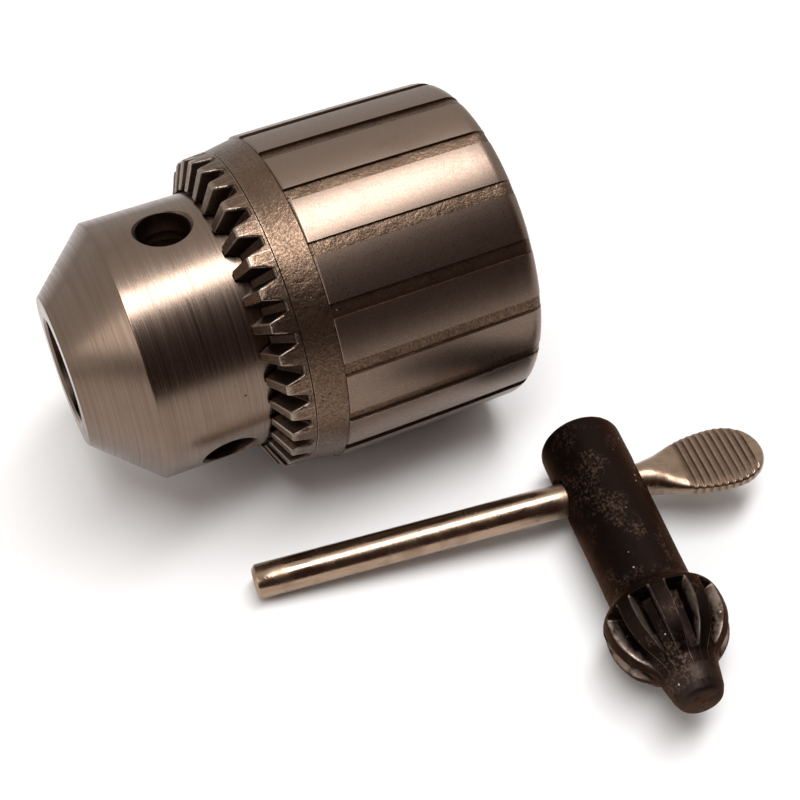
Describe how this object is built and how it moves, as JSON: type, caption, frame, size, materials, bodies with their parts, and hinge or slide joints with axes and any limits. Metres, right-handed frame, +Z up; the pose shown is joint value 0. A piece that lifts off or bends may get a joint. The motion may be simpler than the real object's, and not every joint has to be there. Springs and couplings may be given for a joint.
{
  "type": "keyed drill chuck",
  "caption": "Keyed three-jaw drill chuck with a geared ribbed sleeve that drives its jaws, and its T-handle chuck key lying beside it.",
  "frame": {"origin": "centre of the bounding box in X and Y, on the floor in Z", "axes": "+X along the chuck's axis from nose to spindle end, +Z up, the key lies on the -Y side"},
  "size_m": [0.0788, 0.0884, 0.0429],
  "materials": {
    "body_steel": "fine turned, oiled",
    "sleeve_steel": "ground lands, cast grooves and band",
    "nut_steel": "hardened, machined",
    "jaw_steel": "hardened and ground",
    "key_steel": "black oxide, worn",
    "handle_steel": "bright nickel plate"
  },
  "bodies": {
    "body": {"chuck_body": "body_steel"},
    "sleeve": {"gear_sleeve": "sleeve_steel", "nut_half_a": "nut_steel", "nut_half_b": "nut_steel"},
    "jaw_1": {"jaw_1": "jaw_steel"},
    "jaw_2": {"jaw_2": "jaw_steel"},
    "jaw_3": {"jaw_3": "jaw_steel"},
    "key": {"key_body": "key_steel", "key_handle": "handle_steel"}
  },
  "joints": [
    {"name": "sleeve_turn", "type": "hinge", "parent": "body", "child": "sleeve", "pos_m": [-0.00145, 0.02276, 0.02145], "axis": [1, 0, 0], "range_deg": [0, 3708]},
    {"name": "jaw_1_slide", "type": "slide", "parent": "body", "child": "jaw_1", "axis": [-0.9636, -0.2408, -0.1159], "range_m": [0, 0.02061]},
    {"name": "jaw_2_slide", "type": "slide", "parent": "body", "child": "jaw_2", "axis": [-0.9636, 0.2208, -0.1506], "range_m": [0, 0.02061]},
    {"name": "jaw_3_slide", "type": "slide", "parent": "body", "child": "jaw_3", "axis": [-0.9636, 0.02, 0.2665], "range_m": [0, 0.02061]},
    {"name": "key_lift", "type": "slide", "parent": "body", "child": "key", "axis": [0, 0, 1], "range_m": [0, 0.06]}
  ],
  "couplings": [
    {"joint": "jaw_1_slide", "follows": "sleeve_turn", "m_per_rad": 0.00031831},
    {"joint": "jaw_2_slide", "follows": "sleeve_turn", "m_per_rad": 0.00031831},
    {"joint": "jaw_3_slide", "follows": "sleeve_turn", "m_per_rad": 0.00031831}
  ]
}
